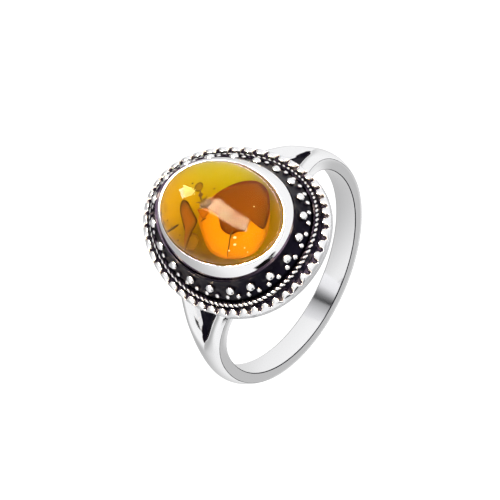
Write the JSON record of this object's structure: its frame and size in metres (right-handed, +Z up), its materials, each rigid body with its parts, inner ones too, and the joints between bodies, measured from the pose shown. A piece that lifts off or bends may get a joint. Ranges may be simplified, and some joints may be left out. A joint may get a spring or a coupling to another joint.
{
  "type": "silver ring with an amber cabochon",
  "caption": "Finger ring: an oval amber cabochon holding plant and insect debris, in a dark beaded silver setting on a split-shoulder band.",
  "frame": {"origin": "centre of the bounding box on the table that the ring lies on", "axes": "+Z up from the table, with the ring lying on its side; the stone faces -Y and slightly up; the finger hole runs up and back, 21.5 degrees off +Z towards +Y; +X runs across the ring"},
  "size_m": [0.0198, 0.0234, 0.0154],
  "materials": {
    "band_silver": "polished sterling silver",
    "oxidised_silver": "oxidised sterling silver, blue-black in the recesses, polished on the beads and knobs",
    "wire_silver": "polished sterling silver on its high spots",
    "bezel_silver": "burnished sterling silver",
    "amber": "clear polished amber, yellow to orange",
    "leaf": "matte red-brown plant flake",
    "twig": "matte dark plant twig",
    "insect": "dull dark chitin"
  },
  "bodies": {
    "root": {"band": "band_silver", "setting": "oxidised_silver", "twisted_wire": "wire_silver", "bezel": "bezel_silver", "amber_base": "amber", "amber_crown": "amber", "leaf_flake": "leaf", "twig": "twig", "insect_fragment": "insect"}
  },
  "joints": []
}
